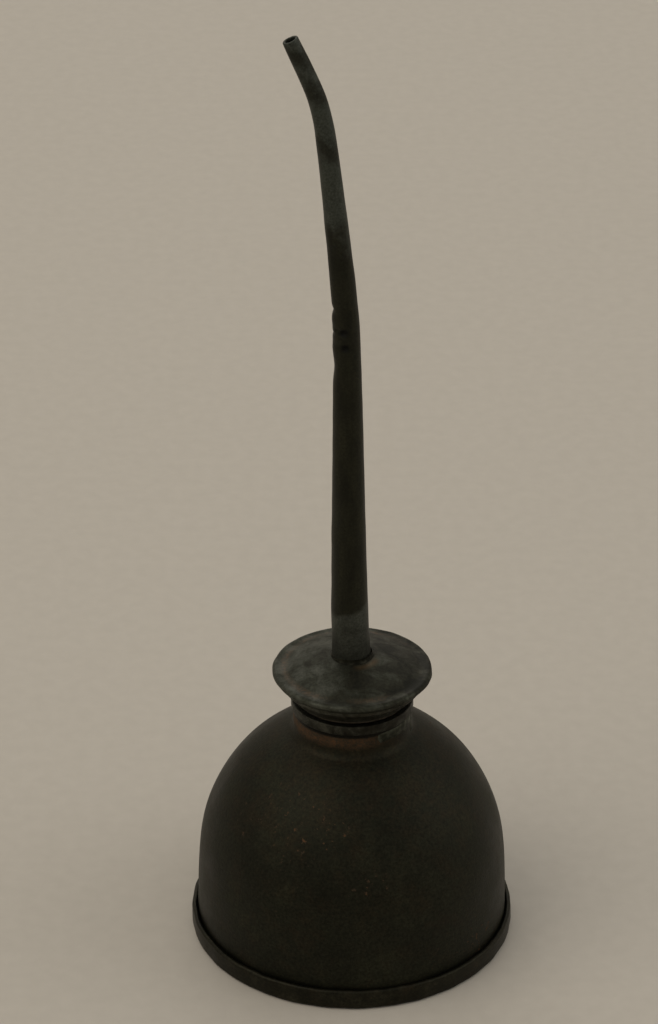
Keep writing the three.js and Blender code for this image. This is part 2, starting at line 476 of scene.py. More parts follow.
    def material(self) -> bpy.types.Material:
        """Builds the finish.

        Returns:
            The material: clouds, grit and drawing marks over one browned colour, with rust on it.
        """
        paint = Shader(self.name)
        place = paint.place
        axes = paint.add("SeparateXYZ", {0: place}).node.outputs
        clouds = paint.add(
            "TexNoise",
            {"Vector": place, "Scale": per(self.cloud), "Detail": 8.0, "Roughness": 0.72},
        )
        grit = paint.add(
            "TexNoise", {"Vector": place, "Scale": per(self.grit), "Detail": 3.0, "Roughness": 0.7}
        )
        tones = [(0.3, self.deep), (0.52, self.middle), (0.74, self.worn)]
        browned = paint.add("ValToRGB", {"Fac": clouds}, stops=tones)
        base = self.warmed(paint, axes["Z"], browned)
        limits = {"From Min": 0.3, "From Max": 0.7, "To Min": 0.55, "To Max": 1.45}
        speck = paint.add("MapRange", {"Value": grit, **limits})
        neck_rust, under_band_shade = self.neck_marks(paint, axes, clouds)
        # Painted shade darkens the colour in that strip.
        shade_dimming = paint.add("MapRange", {"Value": under_band_shade, "To Min": 1.0, "To Max": self.shade_dimming})
        dimmed = paint.add("Math", {0: speck, 1: shade_dimming}, operation="MULTIPLY")
        speckled = paint.add("VectorMath", {0: base, "Scale": dimmed}, operation="SCALE")
        rusted = paint.add("Math", {0: self.flecks(paint), 1: neck_rust}, operation="MAXIMUM")
        bloom = paint.add("ValToRGB", {"Fac": grit}, stops=[(0.3, self.worn), (0.6, self.rust)])
        mixed = paint.add("Mix", {0: rusted, 6: speckled, 7: bloom}, data_type="RGBA")
        limits = {"To Min": self.roughness - 0.06, "To Max": self.roughness + 0.14}
        film = paint.add("MapRange", {"Value": clouds, "From Min": 0.3, "From Max": 0.7, **limits})
        rough = paint.add("Math", {0: rusted, 1: 0.35, 2: film}, operation="MULTIPLY_ADD")
        limits = {"To Min": self.metal, "To Max": self.rusty_metal}
        bare = paint.add("MapRange", {"Value": rusted, **limits})
        marks = paint.add("Mapping", {"Vector": place, "Scale": (0.06, 0.06, 1.0)})
        drawn = paint.add("TexNoise", {"Vector": marks, "Scale": per(self.drawing), "Detail": 2.0})
        relief = paint.add("Math", {0: grit, 1: 1.6, 2: drawn}, operation="MULTIPLY_ADD")
        colour = mixed.node.outputs[2]
        return paint.close(colour, bare, rough, relief, depth=0.02, strength=0.9)


@dataclass(frozen=True)
class TarnishedZinc:
    """Turned or pressed metal with a dull plated skin that has gone blotchy.

    It gives the eye a soft grey, warm and dark in patches, with a thread of rust in the shallow
    channel near the edge and a crescent of tan flux beside the spout. The plating's real grain is
    too fine to see, and is drawn at four tenths of a millimetre.
    """

    name: str = "tarnished_plated_steel"
    dark: str = "#22231d"
    warm: str = "#2e2e25"
    middle: str = "#383a31"
    pale: str = "#484a42"
    rust: str = "#5c4229"
    tan: str = "#5f4c33"
    metal: float = 0.8
    rusty_metal: float = 0.1
    blotch: float = 2.8
    wide_blotch: float = 9.0
    grain: float = 0.4
    roughness: float = 0.5
    # Leans the painted light to the left, and the channel's rust too.
    light_and_rust_lean: float = 0.013
    edge: float = 11.45
    edge_width: float = 0.5
    edge_highlight: float = 0.0
    channel: float = 9.9
    channel_width: float = 0.7
    channel_rust: float = 0.0
    crescent: float = 3.7
    crescent_width: float = 0.75
    crescent_centre: Point3 = (2.4, -2.9, 45.6)
    crescent_ends: tuple[float, float] = (2.6, 1.4)

    def ring(self, paint: Shader, radius: Any, at: float, half_width: float) -> Any:
        """How near the surface is to a ring round the axis.

        Args:
            paint: The material.
            radius: Distance from the axis.
            at: The ring's radius, in millimetres.
            half_width: How far from it the ring has faded out.

        Returns:
            1 on the ring, falling to 0.
        """
        away = paint.add("Math", {0: radius, 1: at * MM}, operation="SUBTRACT")
        distance = paint.add("Math", {0: away}, operation="ABSOLUTE")
        limits = {"From Min": half_width * MM, "From Max": 0.0}
        return paint.add("MapRange", {"Value": distance, **limits})

    def rusted(self, paint: Shader, radius: Any, leftward: Any) -> Any:
        """Lays a thread of rust in the channel, heavier towards one side.

        Args:
            paint: The material.
            radius: Distance from the axis.
            leftward: Where the surface is along X.

        Returns:
            How rusty the surface is.
        """
        wide = {"Vector": paint.place, "Scale": per(self.wide_blotch), "Detail": 2.0}
        sides = paint.add("TexNoise", wide)
        lean = {0: leftward, 1: -self.light_and_rust_lean / MM, 2: sides}
        wetter = paint.add("Math", lean, operation="MULTIPLY_ADD")
        limits = {"From Min": 0.44, "From Max": 0.6, "To Max": self.channel_rust}
        patch = paint.add("MapRange", {"Value": wetter, **limits})
        thread = self.ring(paint, radius, self.channel, self.channel_width)
        return paint.add("Math", {0: thread, 1: patch}, operation="MULTIPLY")

    def fluxed(self, paint: Shader, radius: Any) -> Any:
        """Leaves a crescent of flux beside the spout's foot.

        Args:
            paint: The material.
            radius: Distance from the axis.

        Returns:
            How much flux there is.
        """
        centre = tuple(c * MM for c in self.crescent_centre)
        gap = paint.add("VectorMath", {0: paint.place, 1: centre}, operation="DISTANCE")
        far, close = self.crescent_ends
        limits = {"From Min": far * MM, "From Max": close * MM, "To Max": self.channel_rust}
        near = paint.add("MapRange", {"Value": gap.node.outputs["Value"], **limits})
        ring = self.ring(paint, radius, self.crescent, self.crescent_width)
        return paint.add("Math", {0: ring, 1: near}, operation="MULTIPLY")

    def material(self) -> bpy.types.Material:
        """Builds the finish.

        Returns:
            The material: blotches of two sizes, turning marks, and rust and flux on two rings.
        """
        paint = Shader(self.name)
        place = paint.place
        blotches = {"Scale": per(self.blotch), "Detail": 5.0, "Roughness": 0.62, "Distortion": 0.5}
        warp = paint.add("TexNoise", {"Vector": place, **blotches})
        grain = paint.add(
            "TexNoise",
            {"Vector": place, "Scale": per(self.grain), "Detail": 3.0, "Roughness": 0.65},
        )
        leftward = paint.add("SeparateXYZ", {0: place})
        # Painted light: the left side, towards the key light, is made lighter.
        lean = {0: leftward, 1: -self.light_and_rust_lean / MM, 2: warp}
        painted_left_light = paint.add("Math", lean, operation="MULTIPLY_ADD")
        flat = paint.add("VectorMath", {0: place, 1: (1.0, 1.0, 0.0)}, operation="MULTIPLY")
        radius = paint.add("VectorMath", {0: flat}, operation="LENGTH").node.outputs["Value"]
        # Painted highlight: a pale ring along the rim's rounded edge, added to the painted
        # left-side light.
        edge = self.ring(paint, radius, self.edge, self.edge_width)
        worn = {0: edge, 1: self.edge_highlight, 2: painted_left_light}
        lightness = paint.add("Math", worn, operation="MULTIPLY_ADD")
        tones = [(0.32, self.dark), (0.44, self.warm), (0.54, self.middle), (0.68, self.pale)]
        base = paint.add("ValToRGB", {"Fac": lightness}, stops=tones)
        limits = {"From Min": 0.3, "From Max": 0.7, "To Min": 0.7, "To Max": 1.3}
        speck = paint.add("MapRange", {"Value": grain, **limits})
        speckled = paint.add("VectorMath", {0: base, "Scale": speck}, operation="SCALE")
        rusted = self.rusted(paint, radius, leftward)
        fluxed = self.fluxed(paint, radius)
        bloom = paint.add("ValToRGB", {"Fac": grain}, stops=[(0.35, self.middle), (0.6, self.rust)])
        rusty = paint.add("Mix", {0: rusted, 6: speckled, 7: bloom}, data_type="RGBA")
        under, tan = rusty.node.outputs[2], linear(self.tan)
        mixed = paint.add("Mix", {0: fluxed, 6: under, 7: tan}, data_type="RGBA")
        limits = {"To Min": self.roughness + 0.12, "To Max": self.roughness - 0.06}
        rough = paint.add("MapRange", {"Value": warp, "From Min": 0.3, "From Max": 0.7, **limits})
        limits = {"To Min": self.metal, "To Max": self.rusty_metal}
        bare = paint.add("MapRange", {"Value": rusted, **limits})
        relief = paint.add("Math", {0: warp, 1: 2.5, 2: grain}, operation="MULTIPLY_ADD")
        colour = mixed.node.outputs[2]
        return paint.close(colour, bare, rough, relief, depth=0.02, strength=0.8)


@dataclass(frozen=True)
class SoftSolder:
    """Tin-lead solder, wiped and gone dull.

    It is a paler grey than the steel it lies on, blobby and satin, with dark flux caught in its
    hollows. Each blob is about a millimetre across.
    """

    name: str = "dull_soft_solder"
    flux: str = "#1f2019"
    skin: str = "#32342b"
    bright: str = "#4e5147"
    metal: float = 0.9
    blob: float = 1.1

    def material(self) -> bpy.types.Material:
        """Builds the finish.

        Returns:
            The material: blobs with flux between them.
        """
        paint = Shader(self.name)
        blobs = paint.add(
            "TexNoise",
            {"Vector": paint.place, "Scale": per(self.blob), "Detail": 4.0, "Roughness": 0.55},
        )
        tones = [(0.3, self.flux), (0.48, self.skin), (0.7, self.bright)]
        colour = paint.add("ValToRGB", {"Fac": blobs}, stops=tones)
        rough = paint.add("MapRange", {"Value": blobs, "To Min": 0.62, "To Max": 0.36})
        return paint.close(colour, self.metal, rough, blobs, depth=0.12, strength=0.7)


@dataclass(frozen=True)
class WornTinnedSteel:
    """Seamed steel tube, dip-tinned at the foot and browned above, rubbed bare towards the tip.

    Its foot is grey, its middle dark brown with fine lengthwise streaks, and its top a blotchy
    grey-green where fingers and oil have worn the brown away. The creases of its dents are painted
    darker, as painted shade. The metal's real grain is too fine to see, and is drawn at a third of
    a millimetre.
    """

    name: str = "worn_tinned_steel_tube"
    brown: str = "#1c1c13"
    umber: str = "#2a2a1e"
    tinned: str = "#33352f"
    bright: str = "#484b45"
    shade: str = "#2b2c25"
    worn: str = "#41453f"
    crease_shade: str = "#0c0c08"
    metal: float = 0.75
    streak: float = 1.3
    blotch: float = 3.5
    grain: float = 0.35
    foot: float = 54.3
    foot_tilt: float = -0.35
    foot_sag: float = 1.5
    foot_blur: float = 0.4
    wear: float = 111.5
    wear_lean: float = 2.0
    wear_blur: float = 1.5
    wear_spread: float = 5.0
    tip: float = 141.0
    rub: float = 70.0
    rub_heights: tuple[float, float] = (4.2, 1.5)
    rub_sides: tuple[float, float] = (-1.4, -2.4)
    creases: tuple[Point3, ...] = ()
    crease_reach: float = 0.95

    def worn_top(self, paint: Shader, climb: Any) -> Any:
        """Colours the rubbed top in the patches that the fingers have left.

        Args:
            paint: The material.
            climb: A ragged height.

        Returns:
            The colour.
        """
        limits = {"From Min": self.wear * MM, "From Max": self.tip * MM}
        share = paint.add("MapRange", {"Value": climb, **limits})
        shade, worn = self.shade, self.worn
        patches = [(0.0, shade), (0.1, worn), (0.38, worn), (0.46, shade), (0.51, shade)]
        patches += [(0.57, worn), (0.64, worn), (0.7, shade), (0.75, shade), (0.82, worn)]
        patches += [(0.88, shade), (0.96, shade), (1.0, worn)]
        return paint.add("ValToRGB", {"Fac": share}, stops=patches)

    def shade_creases(self, paint: Shader, colour: Any) -> Any:
        """Paints shade into the creases of the dents.

        Args:
            paint: The material.
            colour: Its colour without the painted shade.

        Returns:
            Its colour with the painted shade.
        """
        # Painted shade: the creases of the first dents are darkened to near-black.
        crease_shade, reach = linear(self.crease_shade), self.crease_reach * MM
        for crease in self.creases:
            centre = tuple(c * MM for c in crease)
            gap = paint.add("VectorMath", {0: paint.place, 1: centre}, operation="DISTANCE")
            limits = {"From Min": reach, "From Max": 0.4 * reach}
            near = paint.add("MapRange", {"Value": gap.node.outputs["Value"], **limits})
            mixed = paint.add("Mix", {0: near, 6: colour, 7: crease_shade}, data_type="RGBA")
            colour = mixed.node.outputs[2]
        return colour

    def dipped(self, paint: Shader, axes: Any, blotches: Any) -> Any:
        """Finds the dip line, which sags at the front and rides up on the right.

        Args:
            paint: The material.
            axes: Where the surface is, as X, Y and Z.
            blotches: The pattern that makes the line ragged.

        Returns:
            1 below the line and 0 above it.
        """
        limits = {"To Min": -self.foot_sag * MM, "To Max": self.foot_sag * MM}
        ragged = paint.add("MapRange", {"Value": blotches, **limits})
        lean = {0: axes["X"], 1: self.foot_tilt, 2: axes["Z"]}
        tilt = paint.add("Math", lean, operation="MULTIPLY_ADD")
        height = paint.add("Math", {0: tilt, 1: ragged}, operation="ADD")
        above, below = self.foot + self.foot_blur, self.foot - self.foot_blur
        limits = {"From Min": above * MM, "From Max": below * MM}
        return paint.add("MapRange", {"Value": height, **limits})

    def bared(self, paint: Shader, axes: Any, blotches: Any, climb: Any) -> Any:
        """Wears the brown away above a ragged border, and under a thumb on the left.

        Args:
            paint: The material.
            axes: Where the surface is, as X, Y and Z.
            blotches: The pattern that breaks the thumb's patch up.
            climb: A ragged height.

        Returns:
            How bare the surface is.
        """
        lean = paint.add("Math", {0: axes["X"], 1: 1.0, 2: climb}, operation="MULTIPLY_ADD")
        border, blur = (self.wear - self.wear_lean) * MM, self.wear_blur * MM
        limits = {"From Min": border - blur, "From Max": border + blur}
        rubbed = paint.add("MapRange", {"Value": lean, **limits})
        from_rub = paint.add("Math", {0: axes["Z"], 1: self.rub * MM}, operation="SUBTRACT")
        near = paint.add("Math", {0: from_rub}, operation="ABSOLUTE")
        far, close = self.rub_heights
        limits = {"From Min": far * MM, "From Max": close * MM}
        patch = paint.add("MapRange", {"Value": near, **limits})
        right, left = self.rub_sides
        limits = {"From Min": right * MM, "From Max": left * MM}
        leftward = paint.add("MapRange", {"Value": axes["X"], **limits})
        rub = paint.add("Math", {0: patch, 1: leftward}, operation="MULTIPLY")
        thumbed = paint.add("Math", {0: rub, 1: blotches}, operation="MULTIPLY")
        return paint.add("Math", {0: rubbed, 1: thumbed}, operation="MAXIMUM")

    def material(self) -> bpy.types.Material:
        """Builds the finish.

        Returns:
            The material: three stretches by height, with ragged borders between them.
        """
        paint = Shader(self.name)
        place = paint.place
        axes = paint.add("SeparateXYZ", {0: place}).node.outputs
        long = paint.add("Mapping", {"Vector": place, "Scale": (1.0, 1.0, 0.22)})
        streaks = paint.add(
            "TexNoise", {"Vector": long, "Scale": per(self.streak), "Detail": 5.0, "Roughness": 0.6}
        )
        blotches = paint.add(
            "TexNoise",
            {"Vector": place, "Scale": per(self.blotch), "Detail": 4.0, "Roughness": 0.6},
        )
        grain = paint.add(
            "TexNoise", {"Vector": place, "Scale": per(self.grain), "Detail": 3.0, "Roughness": 0.7}
        )
        tones = [(0.35, self.brown), (0.68, self.umber)]
        browned = paint.add("ValToRGB", {"Fac": streaks}, stops=tones)
        tones = [(0.35, self.tinned), (0.65, self.bright)]
        tinned = paint.add("ValToRGB", {"Fac": blotches}, stops=tones)
        dipped = self.dipped(paint, axes, blotches)
        limits = {"To Min": -self.wear_spread * MM, "To Max": self.wear_spread * MM}
        spread = paint.add("MapRange", {"Value": blotches, **limits})
        climb = paint.add("Math", {0: axes["Z"], 1: spread}, operation="ADD")
        bare = self.bared(paint, axes, blotches, climb)
        top = self.worn_top(paint, climb)
        above = paint.add("Mix", {0: bare, 6: browned, 7: top}, data_type="RGBA").node.outputs[2]
        toned = paint.add("Mix", {0: dipped, 6: above, 7: tinned}, data_type="RGBA")
        limits = {"From Min": 0.3, "From Max": 0.7, "To Min": 0.62, "To Max": 1.38}
        speck = paint.add("MapRange", {"Value": grain, **limits})
        shaded = {0: toned.node.outputs[2], "Scale": speck}
        speckled = paint.add("VectorMath", shaded, operation="SCALE")
        colour = self.shade_creases(paint, speckled)
        rough = paint.add("MapRange", {"Value": streaks, "To Min": 0.4, "To Max": 0.66})
        relief = paint.add("Math", {0: blotches, 1: 2.0, 2: grain}, operation="MULTIPLY_ADD")
        return paint.close(colour, self.metal, rough, relief, depth=0.02, strength=0.8)


@dataclass(frozen=True)
class OiledLeather:
    """Cut leather washer, soaked dark with oil: matt, with a faint fibrous edge."""

    name: str = "oil_soaked_leather"
    dark: str = "#25221a"
    hide: str = "#4a4233"
    fibre: float = 0.6

    def material(self) -> bpy.types.Material:
        """Builds the finish.

        Returns:
            The material: fibres a fifth of a millimetre thick, lying flat in the washer.
        """
        paint = Shader(self.name)
        lying = paint.add("Mapping", {"Vector": paint.place, "Scale": (1.0, 1.0, 3.0)})
        fibres = paint.add(
            "TexNoise", {"Vector": lying, "Scale": per(self.fibre), "Detail": 5.0, "Roughness": 0.7}
        )
        tones = [(0.35, self.dark), (0.7, self.hide)]
        colour = paint.add("ValToRGB", {"Fac": fibres}, stops=tones)
        rough = paint.add("MapRange", {"Value": fibres, "To Min": 0.6, "To Max": 0.95})
        return paint.close(colour, 0.0, rough, fibres, depth=0.08, strength=0.8)


@dataclass(frozen=True)
class StudioPaper:
    """Pale matt background paper, with only a hint of tooth."""

    name: str = "pale_matt_paper"
    shade: str = "#d2cdc4"
    light: str = "#d6d1c8"
    tooth: float = 2.5
    roughness: float = 0.95

    def material(self) -> bpy.types.Material:
        """Builds the finish.

        Returns:
            The material: a pale warm grey with faint clouds, and no bumps.
        """
        paint = Shader(self.name)
        clouds = {"Vector": paint.place, "Scale": per(self.tooth), "Detail": 3.0}
        tones = [(0.3, self.shade), (0.7, self.light)]
        colour = paint.add("ValToRGB", {"Fac": paint.add("TexNoise", clouds)}, stops=tones)
        shader = paint.add("BsdfPrincipled", {"Base Color": colour, "Roughness": self.roughness})
        paint.add("OutputMaterial", {"Surface": shader})
        return paint.material


@dataclass(frozen=True)
class Extent:
    """How far a node of the frame reaches from the axis, and its lowest and highest points."""

    radius: float
    low: float
    high: float

    @classmethod
    def of(cls, node: str) -> "Extent":
        """Reads a node's box, in millimetres."""
        low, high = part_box(node)
        return cls(high.y / MM, low.z / MM, high.z / MM)


@dataclass(frozen=True)
class ScrewThread:
    """A rounded right-hand thread, 20 turns to the inch."""

    pitch: float = 1.27
    depth: float = 0.5
    rows: int = 14

    def wall(self, radius: float, start: float, end: float) -> Outline:
        """Rows of points on a wall that is to be threaded."""
        turns = abs(end - start) / self.pitch
        return line((radius, start), (radius, end), round(turns * self.rows))

    def relief(self, root: float) -> Relief:
        """Says how far the thread stands out from its root.

        Args:
            root: Radius of the wall that it is cut on.

        Returns:
            The relief of points at that radius. Others have none.
        """

        def height_above(radius: float, angle: float, height: float) -> float:
            """Height of the thread above its root, for a point of the wall.

            Args:
                radius: The point's radius before it is moved.
                angle: Its angle, in radians.
                height: Its height.

            Returns:
                The thread's height there, or 0 for a point that isn't on the wall.
            """
            if abs(radius - root) > 2 * WELD:
                return 0.0
            return self.depth * (1 + math.cos(angle - 2 * math.pi * height / self.pitch)) / 2

        return height_above


def uneven(depth: float, size: float) -> Relief:
    """Hand-made unevenness.

    Args:
        depth: How far a swell stands out or in.
        size: About how wide a swell is.

    Returns:
        The relief that it gives a surface.
    """

    def swell(radius: float, angle: float, height: float) -> float:
        """How far the surface swells at a radius, an angle in radians and a height."""
        place = Vector((radius * math.cos(angle), radius * math.sin(angle), height))
        return depth * noise.noise(place / size)

    return swell


def settle(
    piece: bpy.types.Object, material: bpy.types.Material, body: str, slot: str, *nodes: str
) -> bpy.types.Object:
    """Dresses a piece and lets it ride on a body of the frame.

    Args:
        piece: The piece, in place.
        material: Its finish.
        body: The body it rides on.
        slot: Names the record's material slot. Not used.
        *nodes: The frame's nodes that it stands for.

    Returns:
        The piece.
    """
    piece.data.materials.append(material)
    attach(piece, body)
    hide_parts(*nodes)
    return piece


@dataclass
class BellBody:
    """The drawn bell and the rolled rim that it is clinched in."""

    sheet: float = 0.45
    belly: Point = (22.9, 10.0)
    wall_top: Point = (22.48, 14.0)
    dome_reach: float = 9.2
    shoulder_reach: float = 7.55
    shoulder_slope: float = 26.6
    fillet: float = 1.8
    neck_radius: float = 8.6
    neck_foot: float = 34.85
    fit: float = 0.1
    roll: float = 0.8
    leg: float = 0.4
    leg_top: float = 2.9
    channel: float = 0.95
    corner: float = 0.6
    softening: float = 0.12
    foot_rows: int = 3
    wall_rows: int = 14
    dome_rows: int = 40
    shell_swell: Point = (0.07, 7.0)
    rim_swell: Point = (0.12, 2.6)

    def __post_init__(self) -> None:
        """Reads the wall's foot and the rim's size from the frame."""
        self.shell = Extent.of("body_shell")
        self.rim = Extent.of("bottom_rim")
        self.foot_radius = self.rim.radius - self.roll - self.fit
        self.swell = uneven(*self.shell_swell)

    def outside(self) -> Outline:
        """Draws the bell's outer face.

        Returns:
            Its points, from its foot to the top of its neck.
        """
        centre = (self.neck_radius + self.fillet, self.neck_foot)
        neck = arc(centre, self.fillet, 270 - self.shoulder_slope, 180)
        slope = math.radians(self.shoulder_slope)
        rise = (Vector(self.wall_top) - Vector(self.belly)).normalized() * self.dome_reach
        fall = Vector((math.cos(slope), -math.sin(slope))) * self.shoulder_reach
        low, high = Vector(self.wall_top) + rise, Vector(neck[0]) + fall
        dome = bezier([self.wall_top, tuple(low), tuple(high), neck[0]], self.dome_rows)
        wall_foot = (self.foot_radius, self.rim.high)
        wall = bezier([wall_foot, self.belly, self.wall_top], self.wall_rows)
        foot = line((self.foot_radius, self.shell.low), wall[0], self.foot_rows)
        return foot[:-1] + wall + dome[1:] + neck[1:] + [(self.neck_radius, self.shell.high)]

    def build_shell(self) -> bpy.types.Object:
        """Draws the bell from one sheet, with the faint swells that drawing leaves."""
        return revolve("bell_shell", thicken(self.outside(), self.sheet), FINE, self.swell)

    def build_rim(self) -> bpy.types.Object:
        """Rolls the rim: a bead outside, a channel for the wall, and a leg inside.

        Returns:
            The rim.
        """
        bore = self.rim.radius - self.roll
        inside = self.foot_radius - self.sheet - self.fit
        lip = self.roll / 2
        bead = (self.rim.radius - self.corner, self.corner)
        outline = [
            (inside - self.leg, self.corner / 2),
            (inside, 0.0),
            *arc(bead, self.corner, 270, 360),
            *arc((self.rim.radius - lip, self.rim.high - lip), lip, 0, 180),
            (bore, self.channel),
            (inside, self.channel),
            (inside, self.leg_top),
            (inside - self.leg, self.leg_top),
        ]
        outline = soften(outline, self.softening)
        return revolve("rolled_rim", outline, FINE, uneven(*self.rim_swell))

    def build(self) -> list[bpy.types.Object]:
        """Makes and dresses both pieces.

        Returns:
            The bell and its rim.
        """
        steel = BrownedSteel(neck_rust=0.9)
        bead = BrownedSteel(
            name="rubbed_browned_steel_bead",
            deep="#191911",
            middle="#26251b",
            worn="#3e3c30",
            cloud=3.0,
            roughness=0.44,
        )
        return [
            settle(self.build_shell(), steel.material(), "can", "body_steel", "body_shell"),
            settle(self.build_rim(), bead.material(), "can", "rim_steel", "bottom_rim"),
        ]


@dataclass
class SpringBottom:
    """The bottom sheet inside the rim: a rippled ring that flexes, and a stiff centre to press."""

    sheet: float = 0.45
    ripples: int = 2
    ripple_height: float = 0.3
    seam: float = 0.08
    bead_radius: float = 6.0
    bead_width: float = 1.0
    bead_depth: float = 0.5
    ring_rows: int = 60
    bead_rows: int = 24

    def __post_init__(self) -> None:
        """Reads the ring's and the centre's sizes from the frame."""
        self.ring = Extent.of("bottom_diaphragm")
        self.panel = Extent.of("press_panel")

    def ring_height(self, radius: float) -> float:
        """Height of the ring's underside.

        Args:
            radius: Where, as a distance from the axis.

        Returns:
            The height, which ripples as it goes from the rim's to the centre's.
        """
        share = min((self.ring.radius - radius) / (self.ring.radius - self.panel.radius), 1.0)
        ripple = self.ripple_height * math.sin(2 * math.pi * self.ripples * share)
        return mix(self.ring.low, self.panel.low, share) + ripple

    def build_ring(self) -> bpy.types.Object:
        """Presses the rippled ring.

        Returns:
            The ring, from the centre's edge to the rim.
        """
        start, end = self.panel.radius + self.seam / 2, self.ring.radius + self.seam
        radii = [r for r, _ in line((start, 0), (end, 0), self.ring_rows)]
        under = [(r, self.ring_height(r)) for r in radii]
        over = [(r, h + self.sheet) for r, h in reversed(under)]
        return revolve("bottom_ripple_ring", under + over, FINE)

    def build_centre(self) -> bpy.types.Object:
        """Presses the centre.

        Returns:
            The centre: flat, with a ring bead that stiffens it.
        """
        start, end = self.bead_radius - self.bead_width, self.bead_radius + self.bead_width
        bead = []
        for radius, _ in line((start, 0), (end, 0), self.bead_rows):
            share = (radius - self.bead_radius) / self.bead_width
            rise = self.bead_depth * (1 + math.cos(math.pi * share)) / 2
            bead.append((radius, self.panel.low + rise))
        edge = (self.panel.radius - self.seam / 2, self.panel.low)
        under = [(0.0, self.panel.low), (start / 2, self.panel.low), *bead, edge]
        over = [(r, h + self.sheet) for r, h in reversed(under)]
        return revolve("bottom_press_centre", under + over, ROUND)

    def build(self) -> list[bpy.types.Object]:
        """Makes and dresses both pieces. The ring stretches between the can and the centre.

        Returns:
            The ring and the centre.
        """
        steel = BrownedSteel(
            name="dull_spring_steel_sheet",
            deep="#27251e",
            middle="#403c33",
            worn="#5f5b50",
            cloud=5.0,
            flecked=0.5,
            warmth=0.2,
        ).material()
        ring = self.build_ring()
        ring.data.materials.append(steel)
        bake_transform(ring)
        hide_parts("bottom_diaphragm")
        centre = settle(self.build_centre(), steel, "pump_bottom", "bottom_steel", "press_panel")
        return [ring, centre]


@dataclass
class NeckBushing:
    """The threaded bushing in the can's neck, and the solder beside it, whose run down the neck is
    partly a painted sheen.
    """

    bell: BellBody
    thread: ScrewThread
    fit: float = 0.1
    bore: float = 6.9
    softening: float = 0.15
    run_at: float = -9.0
    run_width: float = 4.2
    run_foot: float = 33.7
    run_fade: float = 0.7
    seam_from: float = -78.0
    seam_to: float = 45.0
    seam_drop: float = 2.3
    seam_fade: float = 0.9
    seam_share: float = 0.62
    end_fade: float = 30.0
    solder: float = 0.2
    sunk: float = 0.08
    reach: float = 4.0
    margin: float = 0.6
    lump: Point = (9.0, 1.4)
    columns: int = 100
    rows_between: int = 6

    def __post_init__(self) -> None:
        """Reads the bushing's size from the frame."""
        self.ring = Extent.of("neck_ring")

    def build_ring(self) -> bpy.types.Object:
        """Turns the bushing.

        Returns:
            The bushing: a band above the neck, a spigot inside it and a threaded bore.
        """
        spigot = self.bell.neck_radius - self.bell.sheet - self.fit
        under_band = self.bell.shell.high + self.fit
        outline = [
            (spigot, self.ring.low),
            (spigot, under_band),
            (self.ring.radius, under_band),
            (self.ring.radius, self.ring.high),
        ]
        outline += self.thread.wall(self.bore, self.ring.high, self.ring.low)
        relief = self.thread.relief(self.bore)
        return revolve("neck_bushing", soften(outline, self.softening), ROUND, relief)

    def solder_height(self, angle: float, height: float) -> float:
        """How thick the solder is: a seam under the band, and a run that has gone down from it,
        which is also a painted sheen.

        Args:
            angle: Where round the neck, in degrees.
            height: How high.

        Returns:
            Its thickness, which is below 0 where there is none.
        """
        # The lumps thicken the solder, and push its edges about.
        along, up = self.lump
        lumps = noise.noise(Vector((angle / along, height * up, 3.0)))
        window = smooth((angle - self.seam_from) / self.end_fade)
        window *= smooth((self.seam_to - angle) / self.end_fade)
        above = height - self.bell.shell.high + self.seam_drop
        seam = window * smooth((above + 0.5 * lumps) / self.seam_fade)
        width = self.run_width * (1 + 0.4 * lumps + 0.1 * (self.bell.shell.high - height))
        # Partly painted sheen: the run is a strip of paler solder where a sheen of light shows on
        # the neck.
        run = math.exp(-(((angle - self.run_at - 3 * lumps) / width) ** 2))
        run *= smooth((height - self.run_foot - 0.4 * lumps) / self.run_fade)
        smooth_height = (self.solder + self.sunk) * max(seam * self.seam_share, run)
        return smooth_height * (1 + 0.3 * lumps) - self.sunk

    def build_solder(self) -> bpy.types.Object:
        """Lays the solder on the neck as a thin skin whose edges dive under the steel.

        Returns:
            The solder.
        """
        reach = self.bell.neck_radius + self.reach
        steps = self.rows_between
        bare = [Vector(p) for p in self.bell.outside() if p[0] < reach]
        path = [a.lerp(b, i / steps) for a, b in zip(bare, bare[1:]) for i in range(steps)]
        path = [p for p in path if p.y > self.run_foot - self.margin] + [bare[-1]]
        hidden = -2 * self.sunk
        face, back = [], []
        for i, here in enumerate(path):
            along = (path[min(i + 1, len(path) - 1)] - path[max(i - 1, 0)]).normalized()
            normal = Vector((along.y, -along.x))
            outer, inner = [], []
            for j in range(self.columns + 1):
                degrees = mix(self.seam_from, self.seam_to, j / self.columns)
                angle = math.radians(degrees)
                edge = i in (0, len(path) - 1) or j in (0, self.columns)
                lift = hidden if edge else self.solder_height(degrees, here.y)
                for row, height in ((outer, lift), (inner, hidden)):
                    spot = here + normal * height
                    out = spot.x + self.bell.swell(here.x, angle, here.y)
                    row.append(Vector((out * math.cos(angle), out * math.sin(angle), spot.y)))
            face.append(outer)
            back.append(inner)
        return grid("neck_solder_and_sheen_run", face + back[::-1], closed_columns=False)

    def build(self) -> list[bpy.types.Object]:
        """Makes and dresses both pieces.

        Returns:
            The bushing and the solder.
        """
        zinc = TarnishedZinc(
            name="oil_darkened_plated_bushing",
            dark="#1a1a14",
            warm="#24221a",
            middle="#2c2c25",
            pale="#414139",
            blotch=1.8,
        )
        return [
            settle(self.build_ring(), zinc.material(), "can", "bushing_zinc", "neck_ring"),
            settle(self.build_solder(), SoftSolder().material(), "can", "solder", "neck_solder"),
        ]


